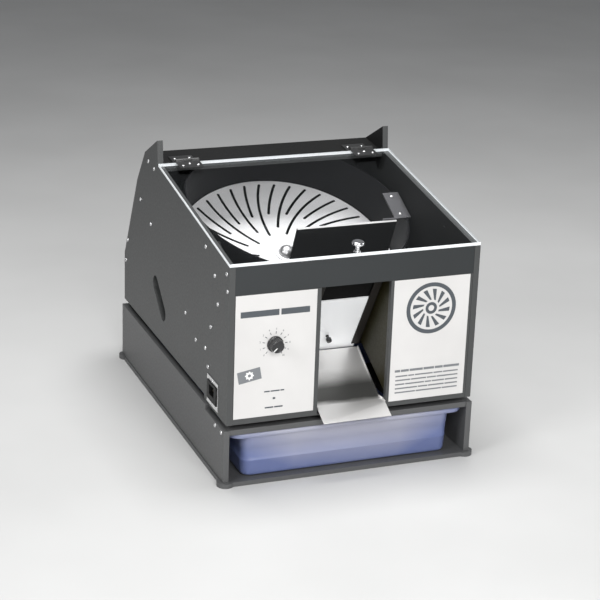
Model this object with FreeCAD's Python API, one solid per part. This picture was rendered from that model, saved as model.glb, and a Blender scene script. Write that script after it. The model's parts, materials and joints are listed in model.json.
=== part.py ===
import FreeCAD, Part
import math
import os

# Bench-top dry trimming machine: a black sheet-plastic housing with a tilted slotted table inside,
# a clear hinged lid, a front discharge door and chute, and a low base that holds a pull-out tub.
# Units are millimetres. While building, Y = 0 is the front face of the upper housing, X = 0 its
# middle and Z = 0 the underside of the base; save() then centres the whole plan on the origin.
PLAN_SHIFT_Y = -337.5

# ---- driving dimensions -------------------------------------------------------------------------
SHEET = 12.0            # thickness of the black housing sheet
HALF_W = 254.0          # half width over the upper side panels
IN_W = HALF_W - SHEET   # half width between them
BASE_HALF_W = 259.0     # half width over the base side panels
DEPTH = 700.0           # front face to back face
BASE_PLATE_T = 9.0      # bottom plate
BASE_TOP = 126.0        # top of the base sides
BASE_STEP = 115.0       # top of the lower front part of the base sides
STEP_Y = 112.0          # where that lower part ends
HOUSING_BOTTOM = 138.0  # underside of the housing floor
FRONT_BOTTOM = 126.0    # underside of the housing front
HEADER_BOTTOM = 385.0
HEADER_TOP = 440.0
LID_SLOPE = math.radians(8.4)
LID_T = 6.0
LID_LENGTH_Y = 452.0
LID_GAP = 0.5
EAR_Y = 454.5           # foot of the ears that stop the lid
BACK_LINE = [(700.0, 126.0), (700.0, 245.0), (603.5, 438.0), (547.0, 513.0), (456.0, 506.0)]

TILT = 25.0             # of the slotted table, rising to the rear
TABLE_Y = 374.0         # table centre
TABLE_Z = 325.3
TABLE_R = 228.0
TABLE_T = 3.0
RING_IN = 230.0
RING_OUT = 232.5
DECK_BORE_R = 229.5
SHAFT_R = 8.0
FIT = 0.05              # running clearance of shafts in their bearings
PULLEY_R = 60.0
MOTOR_PULLEY_R = 24.0
MOTOR_V = 120.0         # motor axis behind the table axis, measured up the slope
BELT_GAP = 0.4
BELT_T = 3.0

WALL_FOOT = (145.95, 210.5)   # inclined front wall: where its middle plane meets the deck
WALL_LEAN = math.radians(31.4)
OPEN_HALF_W = 71.0            # discharge opening in the front
DOOR_HALF_W = 58.0
DOOR_LENGTH = 150.0
DOOR_T = 4.0
GUIDE_LENGTH = 236.0
GUIDE_OUT = 66.0              # outer edge of the door guides
GUIDE_FOOT = 8.0              # they stop a little above the door's lower edge
CHUTE_TOP_HALF = 65.0         # half widths of the chute inside the housing and at its lip
CHUTE_LIP_HALF = 70.0

KNUCKLE_Y = 456.0
KNUCKLE_Z = 515.5
KNUCKLE_R = 4.5
PIN_R = 2.2
HINGE_X = 192.0
HINGE_W = 50.0

DIAL_X = -162.0
DIAL_Z = 283.0

UP = FreeCAD.Vector(0, 0, 1)
BACKWARD = FreeCAD.Vector(0, 1, 0)
ACROSS = FreeCAD.Vector(1, 0, 0)

# Side screws, as (y, z) on the side panels and on the base sides.
SCREWS = [(521, 500), (480, 495), (577, 402), (500, 371), (674, 282), (689, 231), (139, 437), (82, 398),
          (14, 424), (62, 348), (8, 392), (101, 289), (258, 262), (190, 230), (131, 235), (114, 203)]
BASE_SCREWS = [(50, 108), (14, 108)]


# ---- helpers ------------------------------------------------------------------------------------
def box(x0, x1, y0, y1, z0, z1):
    return Part.makeBox(x1 - x0, y1 - y0, z1 - z0, FreeCAD.Vector(x0, y0, z0))


def prism(points, x0, x1):
    """A solid with the given outline in Y and Z, between two X values."""
    loop = [FreeCAD.Vector(x0, y, z) for y, z in points]
    loop.append(loop[0])
    return Part.Face(Part.makePolygon(loop)).extrude(FreeCAD.Vector(x1 - x0, 0, 0))


def rod(base, direction, radius, length):
    return Part.makeCylinder(radius, length, FreeCAD.Vector(*base), direction)


def tilt(shape):
    """Move a shape built about the table's own centre and axis into the machine."""
    moved = shape.copy()
    moved.rotate(FreeCAD.Vector(0, 0, 0), ACROSS, TILT)
    moved.translate(FreeCAD.Vector(0, TABLE_Y, TABLE_Z))
    return moved


def on_wall(x, along, out):
    """A point given by distance up the inclined front wall and distance in front of its middle."""
    y = WALL_FOOT[0] - along * math.sin(WALL_LEAN) - out * math.cos(WALL_LEAN)
    z = WALL_FOOT[1] + along * math.cos(WALL_LEAN) - out * math.sin(WALL_LEAN)
    return FreeCAD.Vector(x, y, z)


def wall_block(x0, x1, along0, along1, out0, out1):
    corners = [(along0, out0), (along1, out0), (along1, out1), (along0, out1)]
    points = [on_wall(0, along, out) for along, out in corners]
    return prism([(p.y, p.z) for p in points], x0, x1)


def offset_line(points, distance):
    """The open line moved sideways by a distance, with mitred corners."""
    shifted = []
    for (ya, za), (yb, zb) in zip(points, points[1:]):
        length = math.hypot(yb - ya, zb - za)
        ny = -(zb - za) / length * distance
        nz = (yb - ya) / length * distance
        shifted.append(((ya + ny, za + nz), (yb + ny, zb + nz)))
    result = [shifted[0][0]]
    for first, second in zip(shifted, shifted[1:]):
        result.append(crossing(first, second))
    result.append(shifted[-1][1])
    return result


def crossing(first, second):
    (ya, za), (yb, zb) = first
    (yc, zc), (yd, zd) = second
    rise = (yb - ya) * (zd - zc) - (zb - za) * (yd - yc)
    t = ((yc - ya) * (zd - zc) - (zc - za) * (yd - yc)) / rise
    return (ya + t * (yb - ya), za + t * (zb - za))


def lid_z(y):
    """Height of the sloping top edge of the side panels."""
    return HEADER_TOP + y * math.tan(LID_SLOPE)


def obround(cy, cz, length, width, angle, x0, x1):
    half = length / 2 - width / 2
    body = box(x0, x1, -half, half, -width / 2, width / 2)
    for end in (-half, half):
        body = body.fuse(rod((x0, end, 0), ACROSS, width / 2, x1 - x0))
    body.rotate(FreeCAD.Vector(0, 0, 0), ACROSS, angle)
    body.translate(FreeCAD.Vector(0, cy, cz))
    return body


def mirrored(shape):
    return shape.mirror(FreeCAD.Vector(0, 0, 0), ACROSS)


def save(name, shape):
    placed = shape.copy()
    placed.translate(FreeCAD.Vector(0, PLAN_SHIFT_Y, 0))
    placed.exportStep("parts/" + name + ".step")


os.makedirs("parts", exist_ok=True)

INNER_LINE = offset_line(BACK_LINE, SHEET)
ROOM = [(SHEET, 150.0), (INNER_LINE[0][0], 150.0)] + INNER_LINE[1:4] + [
    (456.0, INNER_LINE[4][1]), (456.0, 490.0), (SHEET, 425.0)]
room = prism(ROOM, -IN_W, IN_W)

# ---- base -----------------------------------------------------------------------------------------
plate = box(-BASE_HALF_W - 2, BASE_HALF_W + 2, -4, DEPTH + 4, 0, BASE_PLATE_T)
for corner_x in (-BASE_HALF_W + 8, BASE_HALF_W - 8):
    for corner_y in (8, DEPTH - 8):
        plate = plate.fuse(rod((corner_x, corner_y, 0), UP, 17, BASE_PLATE_T))
save("base_bottom_plate", plate.removeSplitter())

BASE_SIDE = [(0, BASE_PLATE_T), (DEPTH, BASE_PLATE_T), (DEPTH, BASE_TOP), (STEP_Y, BASE_TOP),
             (STEP_Y, BASE_STEP), (0, BASE_STEP)]
base_in = BASE_HALF_W - SHEET
base_right = prism(BASE_SIDE, base_in, BASE_HALF_W)
base_screws = []
for y, z in BASE_SCREWS:
    base_right = base_right.cut(rod((base_in, y, z), ACROSS, 2.1, SHEET))
    base_screws.append(rod((BASE_HALF_W - 11, y, z), ACROSS, 2.0, 11))
    base_screws.append(rod((BASE_HALF_W, y, z), ACROSS, 4.3, 2.2))
save("base_side_right", base_right)
save("base_side_left", mirrored(base_right))

save("base_back", box(-base_in, base_in, DEPTH - SHEET, DEPTH, BASE_PLATE_T, BASE_TOP))
save("base_front_rail", box(-base_in, base_in, 2, 60, 104, BASE_STEP))
save("base_rear_rail", box(-base_in, base_in, 620, DEPTH - SHEET, 104, BASE_STEP))

foot_posts = []
for foot_x in (-212, 212):
    for foot_y in (36, 654):
        foot_posts.append(rod((foot_x, foot_y, BASE_STEP), UP, 15, HOUSING_BOTTOM - BASE_STEP))
save("housing_feet", Part.makeCompound(foot_posts))

# ---- collection tub: tapered open tray with a turned-down rim --------------------------------------
TUB_Y0, TUB_Y1 = 4.0, 612.0
TUB_Z0, TUB_Z1 = 9.6, 103.0
TUB_WALL = 3.0
TUB_RIM_HALF = 244.0


def tray(inset, z0, z1):
    """A slightly tapered block with rounded upright corners, inset from the tub's outside."""
    wires = []
    for z in (z0, z1):
        share = (z - TUB_Z0) / (TUB_Z1 - TUB_Z0)
        half = 215 + 4 * share - inset
        y0 = TUB_Y0 + 9 - 3 * share + inset
        y1 = TUB_Y1 - 9 + 3 * share - inset
        r = 20 - inset
        wires.append(rounded_wire(half, y0, y1, r, z))
    return Part.makeLoft(wires, True, True)


def rounded_wire(half, y0, y1, r, z):
    k = r * (1 - math.sqrt(0.5))
    v = FreeCAD.Vector
    edges = [
        Part.makeLine(v(-half + r, y0, z), v(half - r, y0, z)),
        Part.Arc(v(half - r, y0, z), v(half - k, y0 + k, z), v(half, y0 + r, z)).toShape(),
        Part.makeLine(v(half, y0 + r, z), v(half, y1 - r, z)),
        Part.Arc(v(half, y1 - r, z), v(half - k, y1 - k, z), v(half - r, y1, z)).toShape(),
        Part.makeLine(v(half - r, y1, z), v(-half + r, y1, z)),
        Part.Arc(v(-half + r, y1, z), v(-half + k, y1 - k, z), v(-half, y1 - r, z)).toShape(),
        Part.makeLine(v(-half, y1 - r, z), v(-half, y0 + r, z)),
        Part.Arc(v(-half, y0 + r, z), v(-half + k, y0 + k, z), v(-half + r, y0, z)).toShape(),
    ]
    return Part.Wire(edges)


def rounded_block(half, y0, y1, r, z0, z1):
    face = Part.Face(rounded_wire(half, y0, y1, r, z0))
    return face.extrude(FreeCAD.Vector(0, 0, z1 - z0))


rim = rounded_block(TUB_RIM_HALF, TUB_Y0, TUB_Y1, 26, 94, TUB_Z1)
rim = rim.cut(rounded_block(TUB_RIM_HALF - 2.5, TUB_Y0 + 2.5, TUB_Y1 - 2.5, 23.5, 93, 100.5))
tub = rim.fuse(tray(0, TUB_Z0, 102)).cut(tray(TUB_WALL, TUB_Z0 + TUB_WALL, TUB_Z1 + 3))
save("collection_tub", tub.removeSplitter())

# ---- housing sides ---------------------------------------------------------------------------------
SIDE = [(0, FRONT_BOTTOM), (135, FRONT_BOTTOM), (135, HOUSING_BOTTOM), (DEPTH, HOUSING_BOTTOM),
        BACK_LINE[1], BACK_LINE[2], BACK_LINE[3], (460.5, 559.5), (EAR_Y, lid_z(EAR_Y)), (0, HEADER_TOP)]
side_right = prism(SIDE, IN_W, HALF_W)
side_right = side_right.cut(obround(438, 229, 105, 36, 40, IN_W, HALF_W))
side_screws = []
for y, z in SCREWS:
    side_right = side_right.cut(rod((IN_W, y, z), ACROSS, 2.1, SHEET))
    side_screws.append(rod((HALF_W - 11, y, z), ACROSS, 2.0, 11))
    side_screws.append(rod((HALF_W, y, z), ACROSS, 4.3, 2.2))
save("side_panel_right", side_right)
side_left = mirrored(side_right)
side_left = side_left.cut(box(-HALF_W, -IN_W, 57, 107, 150.5, 180))
save("side_panel_left", side_left)


def screw_set(pieces):
    """Pair each head with its shank, on both sides of the machine."""
    screws = []
    for index in range(0, len(pieces), 2):
        screw = pieces[index].fuse(pieces[index + 1]).removeSplitter()
        screws.append(screw)
        screws.append(mirrored(screw))
    return Part.makeCompound(screws)


save("side_screws", screw_set(side_screws))
save("base_screws", screw_set(base_screws))

# ---- housing back, top and floor -------------------------------------------------------------------
names = ["back_panel_lower", "back_panel_middle", "back_panel_upper", "rear_top_deck"]
for index, name in enumerate(names):
    quad = [BACK_LINE[index], BACK_LINE[index + 1], INNER_LINE[index + 1], INNER_LINE[index]]
    save(name, prism(quad, -IN_W, IN_W))

floor = box(-IN_W, IN_W, SHEET, DEPTH - SHEET, HOUSING_BOTTOM, 150)
floor = floor.cut(box(-200, 200, 165, 640, HOUSING_BOTTOM, 150))
floor = floor.cut(box(-80, 80, SHEET, 66, HOUSING_BOTTOM, 150))
save("housing_floor", floor)

# ---- housing front ---------------------------------------------------------------------------------
save("front_header", box(-IN_W, IN_W, 0, SHEET, HEADER_BOTTOM, HEADER_TOP))
front = box(-IN_W, IN_W, 0, SHEET, FRONT_BOTTOM, HEADER_BOTTOM)
front = front.cut(box(-OPEN_HALF_W, OPEN_HALF_W, 0, SHEET, 129, HEADER_BOTTOM))
front = front.cut(rod((DIAL_X, 0, DIAL_Z), BACKWARD, 5, SHEET))
save("front_panel", front)
left_card = box(-241, -80, -1, 0, 138, 384)
save("placard_left", left_card.cut(rod((DIAL_X, -1, DIAL_Z), BACKWARD, 5, 1)))
save("placard_right", box(77, 236, -1, 0, 136.5, 384.5))

# ---- inclined front wall with its door, guides and passage -----------------------------------------
wall = wall_block(-IN_W, IN_W, -40, 300, -6, 6).common(room)
under_deck = tilt(box(-IN_W, IN_W, -400, 0, -200, 0))
wall = wall.cut(under_deck).cut(wall_block(-48, 48, -20, 104, -20, 20))
save("front_wall", wall)

door = wall_block(-DOOR_HALF_W, DOOR_HALF_W, -4, DOOR_LENGTH, 6.4, 6.4 + DOOR_T)
save("exit_door", door)

toward_front = FreeCAD.Vector(0, -math.cos(WALL_LEAN), -math.sin(WALL_LEAN))
knob_foot = on_wall(-9, 42, 6.4 + DOOR_T)
knob = Part.makeCylinder(3, 8, knob_foot, toward_front)
knob = knob.fuse(Part.makeCylinder(5.5, 9, knob_foot + toward_front * 6, toward_front))
save("door_knob", knob.removeSplitter())

guide = wall_block(DOOR_HALF_W + 1, GUIDE_OUT, GUIDE_FOOT, GUIDE_LENGTH, 6, 12.8)
guide = guide.fuse(wall_block(DOOR_HALF_W - 8, GUIDE_OUT, GUIDE_FOOT, GUIDE_LENGTH, 11, 12.8))
guide = guide.common(room)
save("door_guide_right", guide.removeSplitter())
save("door_guide_left", mirrored(guide.removeSplitter()))

cheek = box(OPEN_HALF_W, OPEN_HALF_W + 6, SHEET, 200, 150, 425)
cheek = cheek.cut(wall_block(0, IN_W, -200, 400, -200, 6.0)).cut(tilt(box(0, IN_W, -400, 0, -12, 0)))
keep = [solid for solid in cheek.Solids if solid.CenterOfMass.y < 120]
cheek = max(keep, key=lambda solid: solid.Volume)
save("passage_wall_right", cheek)
save("passage_wall_left", mirrored(cheek))

# The chute: bent sheet from the foot of the door down and out through the front.
CHUTE_T = 1.5
CHUTE_TOP = [(-34.0, 122.5), (-2.0, 137.5), (16.0, 140.0), (66.0, 165.0), (133.0, 203.0)]
CHUTE_HEM = 3.5
chute_under = offset_line(CHUTE_TOP, -CHUTE_T)
chute_rise = offset_line(CHUTE_TOP, CHUTE_HEM)


def chute_plan(inset):
    """Plan outline of the chute, wider at its lip, as a tall block."""
    lip = CHUTE_LIP_HALF - inset
    top = CHUTE_TOP_HALF - inset
    plan = [(-lip, -40), (lip, -40), (lip, SHEET), (top, SHEET + 8), (top, 140),
            (-top, 140), (-top, SHEET + 8), (-lip, SHEET)]
    loop = [FreeCAD.Vector(x, y, 100) for x, y in plan]
    loop.append(loop[0])
    return Part.Face(Part.makePolygon(loop)).extrude(FreeCAD.Vector(0, 0, 150))


folded = prism(CHUTE_TOP + chute_under[::-1], -80, 80)
hems = prism(CHUTE_TOP[1:] + chute_rise[:0:-1], -80, 80).cut(chute_plan(CHUTE_T))
chute = folded.fuse(hems).common(chute_plan(0))
save("chute", chute.removeSplitter())

# ---- inclined deck, slotted table and shroud -------------------------------------------------------
deck = tilt(box(-IN_W, IN_W, -290, 320, -12, 0)).common(room)
deck = deck.cut(wall_block(-IN_W, IN_W, -100, 100, 6, 200))
deck = deck.cut(tilt(rod((0, 0, -20), UP, DECK_BORE_R, 40)))
save("deck_plate", deck)

# Curved slots through the table: long, short, middling and short in turn, sweeping back to the hub.
SLOT_PITCH = 9.0
SLOT_W = 5.8
SLOT_OUT = 215.0
LONG_SLOT = (61.5, 19.1)      # inner radius, and sweep in degrees from end to end
MIDDLE_SLOT = (82.0, 14.5)
SHORT_SLOT = (124.5, 10.7)
FIRST_SLOT = 88.2             # angle of the outer end of one long slot
BULGE = 0.45                  # how much of the sweep is made by half way in


def polar(r, degrees):
    a = math.radians(degrees)
    return FreeCAD.Vector(r * math.cos(a), r * math.sin(a), 0)


def slot(r_in, sweep, angle):
    """A narrow curved slot from the outer radius in to r_in, with round ends."""
    outer = polar(SLOT_OUT, angle)
    inner = polar(r_in, angle + sweep)
    middle = polar((SLOT_OUT + r_in) / 2, angle + sweep * BULGE)
    curve = Part.Arc(outer, middle, inner).toShape()
    centre = curve.Curve.Center
    radius = curve.Curve.Radius
    chord = (outer - centre).normalize()
    last = (inner - centre).normalize()
    mid = (middle - centre).normalize()
    half = SLOT_W / 2
    far = Part.Arc(centre + chord * (radius + half), centre + mid * (radius + half),
                   centre + last * (radius + half)).toShape()
    near = Part.Arc(centre + last * (radius - half), centre + mid * (radius - half),
                    centre + chord * (radius - half)).toShape()
    turn = FreeCAD.Vector(-last.y, last.x, 0) * half
    if (inner + turn - middle).Length < (inner - turn - middle).Length:
        turn = turn * -1
    cap_in = Part.Arc(far.Vertexes[-1].Point, inner + turn, near.Vertexes[0].Point).toShape()
    turn = FreeCAD.Vector(-chord.y, chord.x, 0) * half
    if (outer + turn - middle).Length < (outer - turn - middle).Length:
        turn = turn * -1
    cap_out = Part.Arc(near.Vertexes[-1].Point, outer + turn, far.Vertexes[0].Point).toShape()
    face = Part.Face(Part.Wire([far, cap_in, near, cap_out]))
    shape = face.extrude(FreeCAD.Vector(0, 0, TABLE_T + 2))
    shape.translate(FreeCAD.Vector(0, 0, -TABLE_T - 1))
    return shape


table = rod((0, 0, -TABLE_T), UP, TABLE_R, TABLE_T).cut(rod((0, 0, -5), UP, SHAFT_R, 10))
cutters = []
for index in range(40):
    r_in, sweep = (LONG_SLOT, SHORT_SLOT, MIDDLE_SLOT, SHORT_SLOT)[index % 4]
    cutters.append(slot(r_in, sweep, FIRST_SLOT + SLOT_PITCH * index))
table = table.cut(Part.makeCompound(cutters))
save("slotted_table", tilt(table))

# A domed chrome hub, with a small finger knob off its centre to turn the table by hand.
HUB_R = 18.0
HUB_KNOB_X = 19.0
dome = Part.makeSphere(HUB_R, FreeCAD.Vector(0, 0, 0), UP, 0, 90, 360)
hub = rod((0, 0, 0), UP, HUB_R + 6, 3).fuse(dome).cut(rod((0, 0, -1), UP, SHAFT_R, 9))
hub = hub.cut(rod((HUB_KNOB_X, 0, -1), UP, 9.5, 40))
save("hub_cap", tilt(hub.removeSplitter()))
finger_knob = rod((HUB_KNOB_X, 0, 0), UP, 4, 5).fuse(rod((HUB_KNOB_X, 0, 4), UP, 9, 13))
save("hub_knob", tilt(finger_knob.removeSplitter()))
save("drive_shaft", tilt(rod((0, 0, -126), UP, SHAFT_R, 134)))
pulley = rod((0, 0, -70), UP, PULLEY_R, 20).cut(rod((0, 0, -71), UP, SHAFT_R, 22))
save("driven_pulley", tilt(pulley))

ring = rod((0, 0, 0), UP, RING_OUT, 260).cut(rod((0, 0, -1), UP, RING_IN, 262))
ring = ring.cut(box(-56, 56, -RING_OUT - 5, -100, -1, 96))
ring = ring.cut(box(190, 240, -46, 39, 110, 140))
RIM_LINE = [(0.0, 348.0), (700.0, 568.0), (700.0, 900.0), (0.0, 900.0)]
RIM_LEAN = 5.7          # the rim stands a little higher on the left
above_rim = prism(RIM_LINE, -HALF_W - 60, HALF_W + 60)
above_rim.rotate(FreeCAD.Vector(0, 0, 400), BACKWARD, RIM_LEAN)
ring_clear = prism([(y, z) for y, z in offset_line(BACK_LINE, SHEET + 1.5)[1:4]] +
                   [(456.0, 492.0), (0.0, 440.0), (0.0, 150.0), (686.0, 150.0)], -IN_W, IN_W)
ring = tilt(ring).cut(above_rim).common(ring_clear)
ring = max(ring.Solids, key=lambda solid: solid.Volume)
save("shroud_ring", ring)

# ---- diverter: lift-out baffle standing just above the table ---------------------------------------
save("diverter_plate", tilt(box(-13, 205, -49, -43, 2, 112)))
strap = box(203, 238, -43, 36, 112, 115).fuse(box(235, 238, -43, 36, 61, 115))
strap = strap.fuse(box(176, 206, -43, -40, 83, 115))
save("diverter_bracket", tilt(strap.removeSplitter()))

# ---- blades, bearing and belt drive ----------------------------------------------------------------
bar = box(-238, 238, -16, 16, -22, -12).cut(rod((0, 0, -30), UP, 12, 30))
save("blade_bar", tilt(bar))
BLADE = [(-9.0, -12.0), (9.0, -12.0), (9.0, -9.5), (2.0, -3.4), (0.6, -3.4), (-9.0, -9.5)]
save("blades", tilt(Part.makeCompound([prism(BLADE, 34, 218), prism(BLADE, -218, -34)])))

beam = box(-IN_W, IN_W, -45, 45, -84, -76).fuse(box(-62, 62, 45, 168, -84, -76))
beam = beam.cut(rod((0, 0, -90), UP, 12, 20)).cut(rod((0, MOTOR_V, -90), UP, 9, 20))
for side in (-1, 1):
    inner, outer = sorted((side * 234.0, side * IN_W))
    beam = beam.fuse(box(inner, outer, -45, 45, -76, -50))
save("drive_beam", tilt(beam.removeSplitter()))
bearing = rod((0, 0, -92), UP, 36, 8).fuse(rod((0, 0, -122), UP, 24, 30))
save("bearing_block", tilt(bearing.cut(rod((0, 0, -130), UP, SHAFT_R + FIT, 60)).removeSplitter()))

MOTOR_SHAFT_R = 6.0
save("motor_shaft", tilt(rod((0, MOTOR_V, -112), UP, MOTOR_SHAFT_R, 63)))
small = rod((0, MOTOR_V, -70), UP, MOTOR_PULLEY_R, 20).cut(rod((0, MOTOR_V, -71), UP, MOTOR_SHAFT_R, 22))
save("motor_pulley", tilt(small))
gearbox = box(-40, 40, MOTOR_V - 40, MOTOR_V + 40, -126, -84)
gearbox = gearbox.fuse(rod((0, MOTOR_V, -212), UP, 36, 87))
gearbox = gearbox.cut(rod((0, MOTOR_V, -114), UP, MOTOR_SHAFT_R + FIT, 32))
save("gear_motor", tilt(gearbox.removeSplitter()))


def belt_outline(extra):
    """The solid inside a belt around both pulleys, grown by the given amount."""
    r1 = PULLEY_R + extra
    r2 = MOTOR_PULLEY_R + extra
    lean = math.acos((r1 - r2) / MOTOR_V)
    sx, sv = math.sin(lean), math.cos(lean)
    points = [(r1 * sx, r1 * sv), (r2 * sx, MOTOR_V + r2 * sv),
              (-r2 * sx, MOTOR_V + r2 * sv), (-r1 * sx, r1 * sv)]
    loop = [FreeCAD.Vector(x, v, -67) for x, v in points]
    loop.append(loop[0])
    web = Part.Face(Part.makePolygon(loop)).extrude(FreeCAD.Vector(0, 0, 14))
    return web.fuse(rod((0, 0, -67), UP, r1, 14)).fuse(rod((0, MOTOR_V, -67), UP, r2, 14))


belt = belt_outline(BELT_GAP + BELT_T).cut(belt_outline(BELT_GAP))
save("drive_belt", tilt(belt.removeSplitter()))

# ---- controls and mains inlet ----------------------------------------------------------------------
dial = rod((DIAL_X, -20, DIAL_Z), BACKWARD, 14, 15).fuse(rod((DIAL_X, -6, DIAL_Z), BACKWARD, 16, 4))
dial = dial.fuse(rod((DIAL_X, -3, DIAL_Z), BACKWARD, 3, 37))
save("dial_knob", dial.removeSplitter())
control = box(DIAL_X - 24, DIAL_X + 24, SHEET, SHEET + 30, DIAL_Z - 22, DIAL_Z + 22)
save("speed_control", control.cut(rod((DIAL_X, SHEET - 1, DIAL_Z), BACKWARD, 3 + FIT, 24)))
save("motor_controller", box(118, 232, SHEET, 66, 158, 292))

inlet_plate = box(-HALF_W - 1.5, -HALF_W, 50, 114, 133, 190)
save("inlet_plate", inlet_plate.cut(box(-HALF_W - 2, -HALF_W, 58, 106, 150.5, 179)))
inlet = box(-HALF_W - 3.0, -222, 58.3, 105.7, 151.0, 178.4)
inlet = inlet.cut(box(-HALF_W - 3.0, -236, 68, 96, 155, 175))
inlet_flange = box(-HALF_W - 3.5, -HALF_W - 1.5, 55, 109, 143, 181)
inlet_flange = inlet_flange.cut(box(-HALF_W - 3.5, -HALF_W - 1.5, 68, 96, 155, 175))
save("inlet_body", inlet.fuse(inlet_flange).removeSplitter())
pins = [box(-251, -236, y - 1, y + 1, z - 2.5, z + 2.5) for y, z in ((75, 162), (89, 162), (82, 169))]
save("inlet_pins", Part.makeCompound(pins))

sensor = prism([(72, 388), (92, 384), (152, 428), (144, 444)], -IN_W, -IN_W + 18)
save("lid_sensor", sensor)

# ---- lid, its knob and hinges ----------------------------------------------------------------------
rise = LID_T / math.cos(LID_SLOPE)


def lid_under(y):
    return lid_z(y) + LID_GAP


def lid_over(y):
    return lid_under(y) + rise


lid = prism([(0, lid_under(0)), (LID_LENGTH_Y, lid_under(LID_LENGTH_Y)),
             (LID_LENGTH_Y, lid_over(LID_LENGTH_Y)), (0, lid_over(0))], -HALF_W, HALF_W)
save("lid_panel", lid)

lid_normal = FreeCAD.Vector(0, -math.sin(LID_SLOPE), math.cos(LID_SLOPE))
KNOB_Y = 8.0
foot = FreeCAD.Vector(0, KNOB_Y, lid_over(KNOB_Y))
lid_knob = Part.makeCylinder(7, 2, foot, lid_normal)
lid_knob = lid_knob.fuse(Part.makeCylinder(5, 14, foot, lid_normal))
lid_knob = lid_knob.fuse(Part.makeCone(6, 12, 6, foot + lid_normal * 10, lid_normal))
lid_knob = lid_knob.fuse(Part.makeCylinder(12, 6, foot + lid_normal * 16, lid_normal))
save("lid_knob", lid_knob.removeSplitter())

third = HINGE_W / 3


def deck_top(y):
    (yb, zb), (ya, za) = BACK_LINE[3], BACK_LINE[4]
    return za + (zb - za) * (y - ya) / (yb - ya)


pin_hole = rod((-HALF_W, KNUCKLE_Y, KNUCKLE_Z), ACROSS, PIN_R + FIT, 2 * HALF_W)
lid_leaves = []
deck_leaves = []
pins = []
for cx in (-HINGE_X, HINGE_X):
    x0, x1 = cx - HINGE_W / 2, cx + HINGE_W / 2
    flat = prism([(420, lid_over(420)), (450, lid_over(450)), (450, lid_over(450) + 2.2),
                  (420, lid_over(420) + 2.2)], x0, x1)
    for a, b in ((x0, x0 + third - 0.5), (x1 - third + 0.5, x1)):
        web = prism([(449, lid_over(449)), (452, lid_over(452)), (KNUCKLE_Y, KNUCKLE_Z - 3.4),
                     (KNUCKLE_Y, KNUCKLE_Z + 3.0), (449, lid_over(449) + 2.2)], a, b)
        flat = flat.fuse(web).fuse(rod((a, KNUCKLE_Y, KNUCKLE_Z), ACROSS, KNUCKLE_R, b - a))
    lid_leaves.append(flat.cut(pin_hole).removeSplitter())
    flat = prism([(462, deck_top(462)), (505, deck_top(505)), (505, deck_top(505) + 2.2),
                  (462, deck_top(462) + 2.2)], x0, x1)
    web = prism([(463, deck_top(463)), (463, deck_top(463) + 2.2), (KNUCKLE_Y, KNUCKLE_Z + 3.0),
                 (KNUCKLE_Y, KNUCKLE_Z - 3.4), (458, deck_top(458))], x0 + third, x1 - third)
    flat = flat.fuse(web)
    flat = flat.fuse(rod((x0 + third, KNUCKLE_Y, KNUCKLE_Z), ACROSS, KNUCKLE_R, third))
    middle_hole = rod((x0, KNUCKLE_Y, KNUCKLE_Z), ACROSS, PIN_R, HINGE_W)
    deck_leaves.append(flat.cut(middle_hole).removeSplitter())
    pins.append(rod((x0, KNUCKLE_Y, KNUCKLE_Z), ACROSS, PIN_R, HINGE_W))
save("lid_hinge_leaves", Part.makeCompound(lid_leaves))
save("deck_hinge_leaves", Part.makeCompound(deck_leaves))
save("hinge_pins", Part.makeCompound(pins))
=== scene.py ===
import bmesh
import bpy
import json
import math
from mathutils import Matrix, Vector


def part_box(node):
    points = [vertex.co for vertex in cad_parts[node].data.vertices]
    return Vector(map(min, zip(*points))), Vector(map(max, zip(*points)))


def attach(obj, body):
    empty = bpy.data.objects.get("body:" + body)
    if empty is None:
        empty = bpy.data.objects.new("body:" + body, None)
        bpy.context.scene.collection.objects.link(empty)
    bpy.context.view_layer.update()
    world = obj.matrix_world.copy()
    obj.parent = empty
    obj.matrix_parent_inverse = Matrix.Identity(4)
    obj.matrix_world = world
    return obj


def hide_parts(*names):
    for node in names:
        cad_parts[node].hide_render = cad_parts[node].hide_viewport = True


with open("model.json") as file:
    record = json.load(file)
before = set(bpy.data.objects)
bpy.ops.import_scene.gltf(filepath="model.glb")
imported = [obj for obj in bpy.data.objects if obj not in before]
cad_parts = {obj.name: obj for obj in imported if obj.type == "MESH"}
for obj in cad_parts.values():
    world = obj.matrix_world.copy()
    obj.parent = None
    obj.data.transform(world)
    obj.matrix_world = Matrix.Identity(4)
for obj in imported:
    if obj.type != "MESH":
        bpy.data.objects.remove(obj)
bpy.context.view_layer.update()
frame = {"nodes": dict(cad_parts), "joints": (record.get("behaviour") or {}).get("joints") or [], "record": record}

MM = 0.001
NODES = frame["nodes"]
SUBPARTS = {part["node"]: part["material_slot"] for part in frame["record"]["subparts"]}
NODE_BODY = {node: body for body, members in frame["record"]["behaviour"]["bodies"].items()
             for node in members}
JOINTS = {joint["name"]: joint for joint in frame["joints"]}

TABLE_TILT = math.radians(25)
TABLE_AXIS = Vector(JOINTS["table_spin"]["axis"])
TABLE_CENTRE = Vector(JOINTS["table_spin"]["pos_m"])
LEFT = Vector((-1, 0, 0))
RIGHT = Vector((1, 0, 0))
FRONT = Vector((0, -1, 0))
BACK = Vector((0, 1, 0))
UP = Vector((0, 0, 1))
WHEEL = 2 * math.pi
FRONT_FACE_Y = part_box("front_panel")[0].y     # the machine's own zero for front to back
LID_SLOPE = math.radians(8.4)
DECK_SLOPE = math.radians(4.4)
WALL_LEAN = math.radians(31.4)                # the inclined front wall and its door, from upright
LID_UNDERSIDE = 440.5                         # height at the front face, in millimetres
LID_T = 6.0
DIAL_OFF_ANGLE = 225                          # degrees; where the dial's pointer stands when off
DIAL_STEP = 28                                # degrees from one number on the dial's scale to the next


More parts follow.
